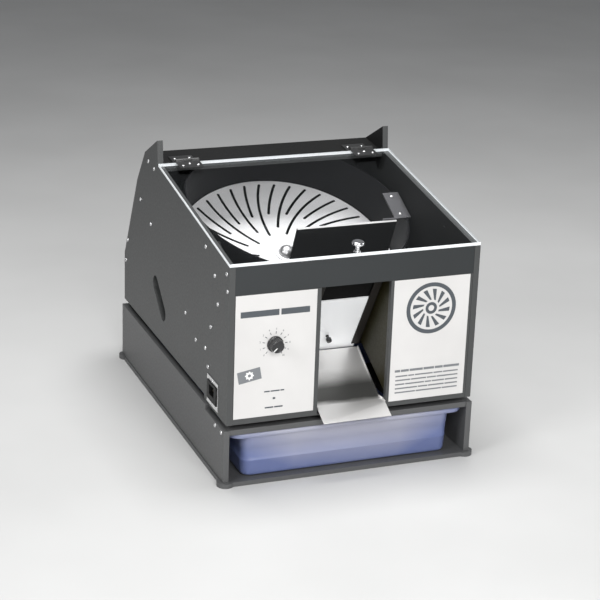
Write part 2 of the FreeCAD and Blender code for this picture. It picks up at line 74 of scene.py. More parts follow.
def at(x, y, z):
    """A place in the machine's millimetres (middle, front face, underside) as a scene vector."""
    return Vector((x * MM, FRONT_FACE_Y + y * MM, z * MM))


def on_table(x, along, height):
    """A place in the turntable's own plane, in millimetres from its centre."""
    side = Vector((0, math.cos(TABLE_TILT), math.sin(TABLE_TILT)))
    return TABLE_CENTRE + RIGHT * x * MM + side * along * MM + TABLE_AXIS * height * MM


# ---- materials ----------------------------------------------------------------------------------
CHUTE_BRIGHT = (0.78, 0.77, 0.76)
CHUTE_DARK = (0.13, 0.13, 0.125)
CHUTE_BAND_Y = (12, 90)         # front to back, where the dark band starts and ends, in millimetres
CHUTE_BAND_CORE = (0.14, 0.5)   # the share of that length where it is darkest
CHUTE_BAND_WAVER = 0.02         # how far its edges wander, in metres
TUB_PALE = (0.34, 0.345, 0.42)
# the darker blue of the painted shade at the tub's foot and ends
TUB_SHADE_BLUE = (0.12, 0.15, 0.3)
TUB_RAMP_Z = (0.02, 0.1)        # the heights between which the tub turns from the painted shade blue to pale, in metres
TUB_CLOUD = 0.03                # how far that change wanders up and down
TUB_END_X = (0.11, 0.23)        # distance from the middle over which the ends turn bluer with painted shade
TUB_END_DROP = 0.07             # as if the ends lay this much lower on the height ramp


def shader_of(name, colour, roughness, metallic=0.0, **sockets):
    """A new material; constants are set on its Principled shader's own sockets."""
    material = bpy.data.materials.new(name)
    material.use_nodes = True
    shader = material.node_tree.nodes["Principled BSDF"]
    shader.inputs["Base Color"].default_value = (*colour, 1)
    shader.inputs["Roughness"].default_value = roughness
    shader.inputs["Metallic"].default_value = metallic
    for socket, value in sockets.items():
        shader.inputs[socket.replace("_", " ")].default_value = value
    return material, shader


def add_node(material, kind, **values):
    node = material.node_tree.nodes.new(kind)
    for key, value in values.items():
        if key in node.inputs:
            node.inputs[key].default_value = value
        else:
            setattr(node, key, value)
    return node


def join(material, output, socket):
    material.node_tree.links.new(output, socket)


def place_texture(material, tilted=False):
    """Texture coordinates in metres; tilted ones lie in the turntable's own plane."""
    coords = add_node(material, "ShaderNodeTexCoord").outputs["Object"]
    if not tilted:
        return coords
    mapping = add_node(material, "ShaderNodeMapping", vector_type="TEXTURE")
    mapping.inputs["Location"].default_value = TABLE_CENTRE
    mapping.inputs["Rotation"].default_value = (TABLE_TILT, 0, 0)
    join(material, coords, mapping.inputs["Vector"])
    return mapping.outputs["Vector"]


def noise(material, scale, detail=3.0, stretch=None, coords=None):
    coords = coords or place_texture(material)
    if stretch:
        mapping = add_node(material, "ShaderNodeMapping")
        mapping.inputs["Scale"].default_value = stretch
        join(material, coords, mapping.inputs["Vector"])
        coords = mapping.outputs["Vector"]
    texture = add_node(material, "ShaderNodeTexNoise", Scale=scale, Detail=detail)
    join(material, coords, texture.inputs["Vector"])
    return texture.outputs["Fac"]


def vary(material, factor, low, high, socket, spread=(0.3, 0.7)):
    """Drive a shader socket between two values, or two colours, by a 0 to 1 factor."""
    if isinstance(low, (int, float)):
        ramp = add_node(material, "ShaderNodeMapRange")
        for key, value in zip(("From Min", "From Max", "To Min", "To Max"), (*spread, low, high)):
            ramp.inputs[key].default_value = value
        join(material, factor, ramp.inputs["Value"])
        join(material, ramp.outputs["Result"], socket)
        return
    ramp = add_node(material, "ShaderNodeValToRGB")
    for element, place, colour in zip(ramp.color_ramp.elements, spread, (low, high)):
        element.position = place
        element.color = (*colour, 1)
    join(material, factor, ramp.inputs["Fac"])
    join(material, ramp.outputs["Color"], socket)


def bump(material, shader, factor, distance, strength=1.0):
    node = add_node(material, "ShaderNodeBump", Distance=distance, Strength=strength)
    join(material, factor, node.inputs["Height"])
    join(material, node.outputs["Normal"], shader.inputs["Normal"])


def sheet_plastic(name, dark, light, roughness=(0.4, 0.5), gloss=0.5):
    """Machined black sheet: satin, finely grained, with a very slight unevenness and scuffs."""
    material, shader = shader_of(name, dark, roughness[0], Specular_IOR_Level=gloss)
    vary(material, noise(material, 5, 2), dark, light, shader.inputs["Base Color"], (0.2, 0.8))
    vary(material, noise(material, 220, 3), *roughness, shader.inputs["Roughness"])
    bump(material, shader, noise(material, 1400, 2), 0.00002)
    return material


def glossy_plastic(name, colour, roughness=0.22):
    material, shader = shader_of(name, colour, roughness, Coat_Weight=0.3, Coat_Roughness=0.1)
    vary(material, noise(material, 45, 4), roughness, roughness + 0.12, shader.inputs["Roughness"])
    bump(material, shader, noise(material, 1500, 2), 0.00001)
    return material


def brushed_metal(name, dark, light, stretch, roughness=(0.22, 0.36)):
    """Metal with fine scratches drawn out along one direction."""
    material, shader = shader_of(name, light, roughness[0], metallic=1.0)
    streaks = noise(material, 40, 5, stretch)
    vary(material, streaks, dark, light, shader.inputs["Base Color"])
    vary(material, streaks, roughness[1], roughness[0], shader.inputs["Roughness"])
    bump(material, shader, streaks, 0.00002, 0.5)
    return material


def turned_metal(name, dark, light):
    """The turntable's face: fine concentric marks about its own axis, with soft cloudy wear."""
    material, shader = shader_of(name, light, 0.5, metallic=0.12)
    coords = place_texture(material, tilted=True)
    rings = add_node(material, "ShaderNodeTexWave", wave_type="RINGS", rings_direction="Z",
                     Scale=260, Distortion=1.2, Detail=2.0)
    join(material, coords, rings.inputs["Vector"])
    clouds = noise(material, 14, 3, coords=coords)
    vary(material, clouds, dark, light, shader.inputs["Base Color"])
    vary(material, clouds, 0.6, 0.5, shader.inputs["Roughness"])
    bump(material, shader, rings.outputs["Fac"], 0.00001, 0.35)
    return material


def chrome(name):
    material, shader = shader_of(name, (0.9, 0.9, 0.91), 0.06, metallic=1.0)
    vary(material, noise(material, 90, 4), 0.04, 0.11, shader.inputs["Roughness"])
    return material


def painted(name, dark, light, roughness=(0.4, 0.55)):
    """Powder coat with a light orange-peel surface."""
    material, shader = shader_of(name, dark, roughness[0])
    vary(material, noise(material, 25, 4), dark, light, shader.inputs["Base Color"])
    vary(material, noise(material, 120, 3), *roughness, shader.inputs["Roughness"])
    bump(material, shader, noise(material, 600, 2), 0.00005)
    return material


def rubber(name):
    material, shader = shader_of(name, (0.02, 0.02, 0.02), 0.75)
    vary(material, noise(material, 70, 5), 0.65, 0.85, shader.inputs["Roughness"])
    bump(material, shader, noise(material, 1200, 3), 0.00005)
    return material


def clear_sheet(name):
    """Clear acrylic: it lets light straight through, and only its gloss and faint wipe marks show."""
    material, shader = shader_of(name, (0.6, 0.63, 0.64), 0.03, metallic=1.0)
    vary(material, noise(material, 18, 5, (1, 4, 1)), 0.02, 0.06, shader.inputs["Roughness"])
    gloss = add_node(material, "ShaderNodeFresnel", IOR=1.4).outputs["Fac"]
    vary(material, gloss, 0.001, 0.1, shader.inputs["Alpha"], (0.03, 1.0))
    return material


def sawn_edge(name):
    """The lid's cut edge: pale and frosted, with a painted glow (emission) that stands for the light it gathers.
    """
    material, shader = shader_of(name, (0.9, 0.93, 0.94), 0.35, Emission_Strength=0.12)
    saw_marks = noise(material, 300, 3, (1, 1, 8))
    vary(material, saw_marks, (0.62, 0.65, 0.67), (0.8, 0.82, 0.83), shader.inputs["Base Color"])
    # painted glow: the edge emits light of its own
    vary(material, saw_marks, (0.75, 0.8, 0.83), (0.95, 0.97, 0.98), shader.inputs["Emission Color"])
    return material


def satin_sheet(name, dark, light, roughness, metallic):
    """Pale satin sheet, with a soft cloudiness and faint long marks."""
    material, shader = shader_of(name, light, roughness[0], metallic=metallic)
    vary(material, noise(material, 7, 2), dark, light, shader.inputs["Base Color"])
    vary(material, noise(material, 30, 4, (6, 0.5, 6)), *roughness, shader.inputs["Roughness"])
    return material


def chute_sheet(name):
    """Bright rolled sheet, with a painted dark band above its fold that stands for the shade there."""
    material, shader = shader_of(name, CHUTE_BRIGHT, 0.33, metallic=0.7)
    place = add_node(material, "ShaderNodeSeparateXYZ")
    join(material, place_texture(material), place.inputs["Vector"])
    ragged = add_node(material, "ShaderNodeMath", operation="MULTIPLY_ADD")
    join(material, noise(material, 12, 4, (1, 3, 1)), ragged.inputs[0])
    ragged.inputs[1].default_value = CHUTE_BAND_WAVER
    join(material, place.outputs["Y"], ragged.inputs[2])
    share = add_node(material, "ShaderNodeMapRange")
    share.inputs["From Min"].default_value = at(0, CHUTE_BAND_Y[0], 0).y + CHUTE_BAND_WAVER / 2
    share.inputs["From Max"].default_value = at(0, CHUTE_BAND_Y[1], 0).y + CHUTE_BAND_WAVER / 2
    join(material, ragged.outputs["Value"], share.inputs["Value"])
    band = add_node(material, "ShaderNodeValToRGB")
    band.color_ramp.elements[0].color = (*CHUTE_BRIGHT, 1)
    band.color_ramp.elements[1].color = (*CHUTE_BRIGHT, 1)
    for position in CHUTE_BAND_CORE:
        band.color_ramp.elements.new(position).color = (*CHUTE_DARK, 1)
    join(material, share.outputs["Result"], band.inputs["Fac"])
    join(material, band.outputs["Color"], shader.inputs["Base Color"])
    vary(material, noise(material, 30, 4, (6, 0.5, 6)), 0.3, 0.36, shader.inputs["Roughness"])
    return material


def tub_plastic(name):
    """Translucent moulded plastic with a cool lavender tint, with painted shade that turns it darker and bluer at
    its foot and ends.
    """
    material, shader = shader_of(name, TUB_PALE, 0.28, Subsurface_Weight=0.25,
                                 Subsurface_Scale=0.01, Subsurface_Radius=(0.8, 0.85, 1.0))
    height = add_node(material, "ShaderNodeSeparateXYZ")
    join(material, place_texture(material), height.inputs["Vector"])
    cloud = add_node(material, "ShaderNodeMath", operation="MULTIPLY_ADD")
    join(material, noise(material, 5, 1, (1, 1, 3)), cloud.inputs[0])
    cloud.inputs[1].default_value = TUB_CLOUD
    join(material, height.outputs["Z"], cloud.inputs[2])
    off_middle = add_node(material, "ShaderNodeMath", operation="ABSOLUTE")
    join(material, height.outputs["X"], off_middle.inputs[0])
    near_end = add_node(material, "ShaderNodeMapRange")
    for key, value in zip(("From Min", "From Max"), TUB_END_X):
        near_end.inputs[key].default_value = value
    near_end.inputs["To Min"].default_value = 0.0
    near_end.inputs["To Max"].default_value = -TUB_END_DROP
    join(material, off_middle.outputs["Value"], near_end.inputs["Value"])
    paleness = add_node(material, "ShaderNodeMath", operation="ADD")
    join(material, cloud.outputs["Value"], paleness.inputs[0])
    join(material, near_end.outputs["Result"], paleness.inputs[1])
    # painted shade: the colour turns to the darker blue towards the tub's foot and its ends
    vary(material, paleness.outputs["Value"], TUB_SHADE_BLUE, TUB_PALE, shader.inputs["Base Color"],
         TUB_RAMP_Z)
    vary(material, noise(material, 20, 2), 0.3, 0.34, shader.inputs["Roughness"])
    return material


def printed_card(name):
    """The placards' semi-gloss white face."""
    material, shader = shader_of(name, (0.6, 0.59, 0.58), 0.35, Coat_Weight=0.2)
    vary(material, noise(material, 8, 4), (0.57, 0.56, 0.55), (0.62, 0.61, 0.6),
         shader.inputs["Base Color"])
    vary(material, noise(material, 80, 3), 0.3, 0.42, shader.inputs["Roughness"])
    return material


STREAK_ACROSS = (0.5, 40, 40)
STREAK_ALONG = (40, 0.5, 40)
# Each slot's finish: the function that makes it, then that function's values.
FINISHES = {
    "base_sheet": (sheet_plastic, (0.072, 0.073, 0.074), (0.082, 0.083, 0.084)),
    "foot_rubber": (rubber,),
    "tub_plastic": (tub_plastic,),
    "side_sheet": (sheet_plastic, (0.044, 0.046, 0.046), (0.051, 0.053, 0.053)),
    "inner_sheet": (sheet_plastic, (0.006, 0.006, 0.006), (0.009, 0.009, 0.009), (0.55, 0.7), 0.02),
    "header_sheet": (sheet_plastic, (0.015, 0.018, 0.019), (0.018, 0.021, 0.023), (0.4, 0.5)),
    "screw_steel": (brushed_metal, (0.6, 0.6, 0.6), (0.85, 0.85, 0.86), (30, 30, 30)),
    "placard": (printed_card,),
    "door_sheet": (satin_sheet, (0.88, 0.89, 0.9), (0.94, 0.95, 0.96), (0.3, 0.4), 0.1),
    "knob_plastic": (glossy_plastic, (0.012, 0.012, 0.013)),
    "guide_plastic": (sheet_plastic, (0.01, 0.009, 0.008), (0.016, 0.014, 0.012), (0.4, 0.5), 0.2),
    # the passage wall's own yellow-olive tint, darkened to near black as painted shade
    "passage_sheet": (sheet_plastic, (0.014, 0.012, 0.004), (0.024, 0.021, 0.007), (0.4, 0.5), 0.2),
    "chute_steel": (chute_sheet,),
    "table_steel": (turned_metal, (0.84, 0.84, 0.85), (0.9, 0.9, 0.91)),
    "chrome_parts": (chrome,),
    "shaft_steel": (brushed_metal, (0.42, 0.42, 0.43), (0.62, 0.62, 0.63), (30, 30, 30)),
    "pulley_aluminium": (brushed_metal, (0.6, 0.6, 0.61), (0.75, 0.75, 0.76), (30, 30, 30)),
    "ring_sheet": (sheet_plastic, (0.006, 0.006, 0.007), (0.01, 0.01, 0.011), (0.4, 0.5), 0.08),
    "bracket_aluminium": (brushed_metal, (0.12, 0.12, 0.125), (0.17, 0.17, 0.18), STREAK_ALONG,
                          (0.35, 0.5)),
    "blade_steel": (brushed_metal, (0.45, 0.46, 0.47), (0.68, 0.69, 0.7), STREAK_ACROSS),
    "beam_paint": (painted, (0.05, 0.05, 0.053), (0.07, 0.07, 0.073)),
    "bearing_iron": (painted, (0.08, 0.08, 0.08), (0.13, 0.13, 0.13), (0.6, 0.8)),
    "motor_paint": (painted, (0.07, 0.07, 0.078), (0.09, 0.09, 0.1)),
    "belt_rubber": (rubber,),
    "control_plastic": (sheet_plastic, (0.006, 0.006, 0.006), (0.009, 0.009, 0.009), (0.4, 0.5), 0.15),
    "inlet_metal": (brushed_metal, (0.75, 0.75, 0.75), (0.9, 0.9, 0.9), STREAK_ALONG, (0.25, 0.35)),
    "pin_brass": (brushed_metal, (0.7, 0.62, 0.42), (0.85, 0.78, 0.58), STREAK_ACROSS),
    "lid_clear": (clear_sheet,),
    "hinge_black": (painted, (0.014, 0.014, 0.014), (0.024, 0.024, 0.024), (0.3, 0.42)),
}
MATERIALS = {name: make(name, *values) for name, (make, *values) in FINISHES.items()}
# the lid's frosted cut edge, with its painted glow
LID_EDGE_GLOW = sawn_edge("lid_edge_glow")
# a pale grey painted highlight for the diverter plate's edge that faces along the turntable's axis
PAINTED_HIGHLIGHT_EDGE = painted("painted_highlight_edge", (0.5, 0.5, 0.5), (0.6, 0.6, 0.6))
SATIN_STEEL = brushed_metal("satin_steel", (0.72, 0.72, 0.73), (0.85, 0.85, 0.86), (30, 30, 30),
                            (0.35, 0.45))
# a darker, matt copy of the black sheet, used as painted shade on inward faces, the rear deck's top and the
# turntable's slot walls
MATT_SHADE_SHEET = sheet_plastic("matt_shade_sheet", (0.01, 0.01, 0.01), (0.014, 0.014, 0.014), (0.55, 0.65), 0.08)
PRINT_DARK = glossy_plastic("print_dark", (0.055, 0.065, 0.075), 0.4)
PRINT_SOFT = glossy_plastic("print_soft", (0.16, 0.17, 0.18), 0.45)
POINTER_WHITE = glossy_plastic("pointer_white", (0.8, 0.8, 0.79), 0.4)

for node_name, slot_name in SUBPARTS.items():
    mesh_data = NODES[node_name].data
    mesh_data.materials.clear()
    mesh_data.materials.append(MATERIALS[slot_name])


# ---- mesh helpers -------------------------------------------------------------------------------
def finish_mesh(bm, name, smooth_angle=35):
    """Turn a bmesh into an object with faces smoothed up to an angle."""
    bmesh.ops.recalc_face_normals(bm, faces=bm.faces)
    mesh = bpy.data.meshes.new(name)
    bm.to_mesh(mesh)
    bm.free()
    mesh.shade_smooth()
    mesh.set_sharp_from_angle(angle=math.radians(smooth_angle))
    piece = bpy.data.objects.new(name, mesh)
    bpy.context.scene.collection.objects.link(piece)
    return piece


def keep_flats_flat(piece):
    """Weight normals by face size, so that eased edges shade softly and flat faces stay flat."""
    modifier = piece.modifiers.new("flat faces", "WEIGHTED_NORMAL")
    modifier.keep_sharp = True
    modifier.weight = 100


def dress(piece, body, slot, material=None):
    piece.data.materials.clear()
    piece.data.materials.append(material or MATERIALS[slot])
    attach(piece, body)
    return piece


def long_sharp_edges(bm, shortest):
    limit = math.radians(30)
    return [edge for edge in bm.edges if len(edge.link_faces) == 2
            and edge.calc_face_angle(0) > limit and edge.calc_length() > shortest]


def eased(node, width=0.6 * MM, shortest=7 * MM):
    """The CAD node with its long edges softly rounded, in place of the sharp one."""
    bm = bmesh.new()
    bm.from_mesh(NODES[node].data)
    bmesh.ops.remove_doubles(bm, verts=bm.verts, dist=1e-6)
    bmesh.ops.dissolve_limit(bm, angle_limit=math.radians(0.5), verts=bm.verts, edges=bm.edges)
    bmesh.ops.bevel(bm, geom=long_sharp_edges(bm, shortest), offset=width, offset_type="OFFSET",
                    segments=2, profile=0.5, affect="EDGES", clamp_overlap=True)
    piece = finish_mesh(bm, node + "_eased")
    keep_flats_flat(piece)
    dress(piece, NODE_BODY[node], SUBPARTS[node])
    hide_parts(node)
    return piece


def revolved(name, profile, steps=48):
    """A solid turned about +Z from (radius, height) points that start and end on the axis."""
    bm = bmesh.new()
    verts = [bm.verts.new((r, 0, z)) for r, z in profile]
    edges = [bm.edges.new(pair) for pair in zip(verts, verts[1:])]
    bmesh.ops.spin(bm, geom=verts + edges, cent=(0, 0, 0), axis=(0, 0, 1), angle=2 * math.pi,
                   steps=steps, use_duplicate=False)
    bmesh.ops.remove_doubles(bm, verts=bm.verts, dist=1e-6)
    bmesh.ops.dissolve_degenerate(bm, edges=bm.edges, dist=1e-7)
    return finish_mesh(bm, name)


def aim(piece, place, direction, turn=0.0):
    """Stand a piece built along +Z at a place, pointing in a direction."""
    spin = Matrix.Rotation(turn, 4, "Z")
    stand = Vector(direction).to_track_quat("Z", "Y").to_matrix().to_4x4()
    piece.data.transform(Matrix.Translation(place) @ stand @ spin)
    return piece


def merged(pieces, name):
    """Several objects joined into one mesh."""
    bm = bmesh.new()
    for piece in pieces:
        bm.from_mesh(piece.data)
        bpy.data.objects.remove(piece)
    return finish_mesh(bm, name)


def islands(node):
    """The separate solids of a CAD node, each as a list of its corners."""
    bm = bmesh.new()
    bm.from_mesh(NODES[node].data)
    bmesh.ops.remove_doubles(bm, verts=bm.verts, dist=1e-6)
    todo = set(bm.verts)
    found = []
    while todo:
        stack = [todo.pop()]
        group = []
        while stack:
            vert = stack.pop()
            group.append(vert.co.copy())
            for edge in vert.link_edges:
                other = edge.other_vert(vert)
                if other in todo:
                    todo.remove(other)
                    stack.append(other)
        found.append(group)
    bm.free()
    return found


def span(points):
    low = Vector([min(p[i] for p in points) for i in range(3)])
    high = Vector([max(p[i] for p in points) for i in range(3)])
    return low, high


def skin(bm, loops):
    """Join a stack of rings, all with the same number of corners, and close both ends."""
    count = len(loops[0])
    for low, high in zip(loops, loops[1:]):
        for i in range(count):
            j = (i + 1) % count
            bm.faces.new((low[i], low[j], high[j], high[i]))
    bm.faces.new(loops[0][::-1])
    bm.faces.new(loops[-1])


# ---- fasteners ----------------------------------------------------------------------------------
SCREW_SIDES = 24


def button_screw(name, place, direction, radius=4.3 * MM, height=2.2 * MM, turn=0.0):
    """A button-head screw with a hexagon socket."""
    socket = radius * 0.48
    depth = height * 0.6
    rings = [(radius, 0.0)]
    for share in range(7):
        angle = math.pi / 2 * share / 6
        r = socket * 1.12 + (radius - socket * 1.12) * math.cos(angle)
        rings.append((r, height * (0.25 + 0.75 * math.sin(angle))))
    bm = bmesh.new()
    turns = [WHEEL * i / SCREW_SIDES for i in range(SCREW_SIDES)]
    loops = [[bm.verts.new((r * math.cos(angle), r * math.sin(angle), z)) for angle in turns]
             for r, z in rings]
    hexagon = []
    for angle in turns:
        flat = socket / math.cos((angle % (math.pi / 3)) - math.pi / 6)
        hexagon.append((flat * 0.93 * math.cos(angle), flat * 0.93 * math.sin(angle)))
    for z in (height, height - depth):
        loops.append([bm.verts.new((x, y, z)) for x, y in hexagon])
    skin(bm, loops)
    return aim(finish_mesh(bm, name), place, direction, turn)


def screw_row(name, places, body="frame", radius=4.3 * MM, height=2.2 * MM):
    """One joined piece of screws at (place, direction) pairs, each turned a little differently."""
    screws = [button_screw("screw", place, direction, radius, height, turn=0.7 * index)
              for index, (place, direction) in enumerate(places)]
    return dress(merged(screws, name), body, "screw_steel")


def panel_screws(node):
    """Detailed heads where the CAD node has its plain ones, on both sides of the machine."""
    places = []
    for points in islands(node):
        low, high = span(points)
        middle = (low + high) / 2
        outward = RIGHT if middle.x > 0 else LEFT
        head = 2.2 * MM
        face = high.x - head if middle.x > 0 else low.x + head
        places.append((Vector((face, middle.y, middle.z)), outward))
    piece = screw_row(node + "_heads", places)
    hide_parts(node)


panel_screws("side_screws")
panel_screws("base_screws")


# ---- housing and base sheets --------------------------------------------------------------------
THICK_SHEETS = ["side_panel_left", "side_panel_right", "front_header", "front_panel", "back_panel_lower",
                "back_panel_middle", "back_panel_upper", "rear_top_deck", "base_side_left",
                "base_side_right", "base_back", "base_front_rail", "base_rear_rail", "base_bottom_plate",
                "housing_floor", "deck_plate", "front_wall", "passage_wall_left", "passage_wall_right",
                "diverter_plate"]
THIN_SHEETS = ["exit_door", "diverter_bracket", "inlet_plate", "inlet_body", "door_guide_left",
               "door_guide_right", "shroud_ring", "chute", "placard_left", "placard_right"]
MACHINE_PARTS = ["drive_beam", "motor_controller", "speed_control", "lid_sensor", "blade_bar",
                 "bearing_block", "gear_motor"]
# these faces look into the housing, or are the rear deck's top; they get the darker matt copy of the sheet as
# painted shade
PAINTED_SHADE_FACES = {"side_panel_left": RIGHT, "side_panel_right": LEFT, "back_panel_middle": FRONT,
              "back_panel_upper": FRONT, "front_header": BACK, "rear_top_deck": UP}


def reface(piece, direction, material):
    """Give the faces that look one way another finish than the rest of the piece."""
    piece.data.materials.append(material)
    for polygon in piece.data.polygons:
        if polygon.normal.dot(direction) > 0.5:
            polygon.material_index = 1


for sheet_name in THICK_SHEETS:
    thick_sheet = eased(sheet_name, 0.8 * MM)
    # painted shade on the faces listed above
    if sheet_name in PAINTED_SHADE_FACES:
        reface(thick_sheet, PAINTED_SHADE_FACES[sheet_name], MATT_SHADE_SHEET)
    # painted highlight on the diverter plate's edge
    if sheet_name == "diverter_plate":
        reface(thick_sheet, TABLE_AXIS, PAINTED_HIGHLIGHT_EDGE)
for thin_name in THIN_SHEETS:
    eased(thin_name, 0.3 * MM, 3 * MM)
for machine_name in MACHINE_PARTS:
    eased(machine_name, 1.0 * MM)
hub_dome = eased("hub_cap", 0.5 * MM, 1.5 * MM)
hub_dome.data.materials[0] = SATIN_STEEL


SLOTS_WITHIN = 0.225            # metres from the turntable's middle; only its rim lies further out


def add_turntable():
    """The slotted disc, with its slot walls given the dark matt sheet as painted shade, so that each slot reads at
    its full width.
    """
    bm = bmesh.new()
    bm.from_mesh(NODES["slotted_table"].data)
    table = finish_mesh(bm, "turntable")
    dress(table, NODE_BODY["slotted_table"], SUBPARTS["slotted_table"])
    table.data.materials.append(MATT_SHADE_SHEET)
    for polygon in table.data.polygons:
        from_axis = (polygon.center - TABLE_CENTRE).length
        # painted shade: the slot walls take the dark matt sheet
        if abs(polygon.normal.dot(TABLE_AXIS)) < 0.5 and from_axis < SLOTS_WITHIN:
            polygon.material_index = 1
    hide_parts("slotted_table")


add_turntable()
for leaf_name in ("lid_hinge_leaves", "deck_hinge_leaves"):
    eased(leaf_name, 0.3 * MM, 2 * MM)


def fixing_screws():
    """Screws that are no CAD nodes of their own: inlet plate, hinges and diverter bracket."""
    inlet_low, inlet_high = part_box("inlet_plate")
    middle_y = (inlet_low.y + inlet_high.y) / 2
    screw_heights = (inlet_low.z + 6 * MM, inlet_high.z - 5 * MM)
    inlet = [(Vector((inlet_low.x, middle_y, z)), LEFT) for z in screw_heights]
    screw_row("inlet_screws", inlet, radius=3.2 * MM, height=1.4 * MM)

    lid_up = Vector((0, -math.sin(LID_SLOPE), math.cos(LID_SLOPE)))
    deck_up = Vector((0, -math.sin(DECK_SLOPE), math.cos(DECK_SLOPE)))
    lid_leaf_z = 449.0      # the top of the leaves on the lid, carried down to the front face
    deck_leaf_z = 508.2     # the top of the leaves on the deck, at its front edge
    lid_screws = []
    deck_screws = []
    for hinge_x in (-192, 192):
        for offset in (-16, 0, 16):
            lid_y = 430 if offset else 438
            lid_z = lid_leaf_z + lid_y * math.tan(LID_SLOPE)
            lid_screws.append((at(hinge_x + offset, lid_y, lid_z), lid_up))
            deck_y = 490 if offset else 478
            deck_z = deck_leaf_z + (deck_y - 456) * math.tan(DECK_SLOPE)
            deck_screws.append((at(hinge_x + offset, deck_y, deck_z), deck_up))
    screw_row("lid_leaf_screws", lid_screws, "lid", 3.2 * MM, 1.3 * MM)
    screw_row("deck_leaf_screws", deck_screws, "frame", 3.2 * MM, 1.3 * MM)

    bracket = [(on_table(219, along, 115), TABLE_AXIS) for along in (-30, 24)]
    screw_row("bracket_screws", bracket, "diverter", 3.6 * MM, 1.8 * MM)


fixing_screws()


# ---- clear lid ----------------------------------------------------------------------------------
def add_lid():
    """The clear sheet with polished cut edges on all four sides, made bright by a painted glow."""
    bm = bmesh.new()
    bm.from_mesh(NODES["lid_panel"].data)
    bmesh.ops.remove_doubles(bm, verts=bm.verts, dist=1e-6)
    bmesh.ops.dissolve_limit(bm, angle_limit=math.radians(0.5), verts=bm.verts, edges=bm.edges)
    bmesh.ops.bevel(bm, geom=long_sharp_edges(bm, 0), offset=0.5 * MM, offset_type="OFFSET",
                    segments=1, profile=0.5, affect="EDGES", clamp_overlap=True)
    lid = finish_mesh(bm, "lid_sheet", 20)
    dress(lid, "lid", "lid_clear")
    lid.data.materials.append(LID_EDGE_GLOW)
    for polygon in lid.data.polygons:
        polygon.material_index = 0 if polygon.area > 0.1 else 1
    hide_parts("lid_panel")


LID_KNOB_PROFILE = [(0, 0), (7.0, 0), (7.0, 1.2), (6.2, 2.0), (4.6, 2.6), (4.0, 4.2), (3.8, 7.0),
                    (4.2, 9.5), (5.6, 11.8), (8.2, 13.8), (10.6, 15.2), (11.8, 16.6), (12.0, 18.0),
                    (11.7, 19.6), (10.6, 20.9), (8.6, 21.6), (5.0, 21.9), (0, 22.0)]


def add_lid_knob():
    knob = revolved("lid_knob_turned", [(r * MM, z * MM) for r, z in LID_KNOB_PROFILE], 64)
    low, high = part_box("lid_knob")
    normal = Vector((0, -math.sin(LID_SLOPE), math.cos(LID_SLOPE)))
    foot_y = (low.y + high.y) / 2 + 11 * MM * math.sin(LID_SLOPE)
    lid_top = (LID_UNDERSIDE + LID_T / math.cos(LID_SLOPE)) * MM
    foot_z = lid_top + (foot_y - FRONT_FACE_Y) * math.tan(LID_SLOPE)
    aim(knob, Vector((0, foot_y, foot_z)), normal)
    dress(knob, "lid", "chrome_parts")
    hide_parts("lid_knob")


add_lid()
add_lid_knob()


# ---- knobs --------------------------------------------------------------------------------------
def fluted(name, profile, flutes, depth, steps=144):
    """A turned shape whose side is scalloped; profile rows are (radius, height, share of depth)."""
    bm = bmesh.new()
    loops = []
    for radius, height, share in profile:
        loop = []
        for index in range(steps):
            angle = WHEEL * index / steps
            scallop = (0.5 - 0.5 * math.cos(flutes * angle)) ** 2
            r = (radius - depth * share * scallop) * MM
            loop.append(bm.verts.new((r * math.cos(angle), r * math.sin(angle), height * MM)))
        loops.append(loop)
    skin(bm, loops)
    return finish_mesh(bm, name, 40)


# radius, height in millimetres, and share of the flutes' depth
DIAL_PROFILE = [(15.0, 0, 0), (16.0, 0.6, 0), (16.0, 2.6, 0), (15.4, 3.6, 0), (14.4, 4.0, 0),
                (14.0, 4.6, 0.6), (13.7, 6, 1), (13.0, 15.5, 1), (12.6, 17.0, 0.9), (11.6, 17.8, 0.4),
                (10.8, 18.0, 0), (10.4, 17.6, 0), (9.8, 17.4, 0)]


def add_dial():
    low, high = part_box("dial_knob")
    middle = (low + high) / 2
    face_y = low.y + 18 * MM
    knob = fluted("dial_body", DIAL_PROFILE, 20, 1.1)
    aim(knob, Vector((middle.x, face_y, middle.z)), FRONT)
    stem_profile = [(0, 0), (3, 0), (3, 33), (2.4, 34), (0, 34)]
    stem = revolved("dial_stem", [(r * MM, z * MM) for r, z in stem_profile], 32)
    aim(stem, Vector((middle.x, face_y - 1 * MM, middle.z)), BACK)
    dress(merged([knob, stem], "dial_knob_moulded"), "dial", "knob_plastic")
    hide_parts("dial_knob")

    bm = bmesh.new()
    turn = math.radians(DIAL_OFF_ANGLE)
    outward = Vector((math.cos(turn), 0, math.sin(turn)))
    across = Vector((-math.sin(turn), 0, math.cos(turn))) * 0.9 * MM
    top = Vector((middle.x, face_y - 17.9 * MM, middle.z))
    corners = [top + outward * 3 * MM, top + outward * 12.2 * MM,
               top + outward * 13.6 * MM + BACK * 6 * MM]
    front_row = [bm.verts.new(corner + across) for corner in corners]
    back_row = [bm.verts.new(corner - across) for corner in corners]
    for i in range(2):
        bm.faces.new((front_row[i], front_row[i + 1], back_row[i + 1], back_row[i]))
    solid = bmesh.ops.extrude_face_region(bm, geom=bm.faces[:])
    moved = [item for item in solid["geom"] if isinstance(item, bmesh.types.BMVert)]
    bmesh.ops.translate(bm, vec=FRONT * 0.5 * MM, verts=moved)
    dress(finish_mesh(bm, "dial_pointer"), "dial", "knob_plastic", POINTER_WHITE)


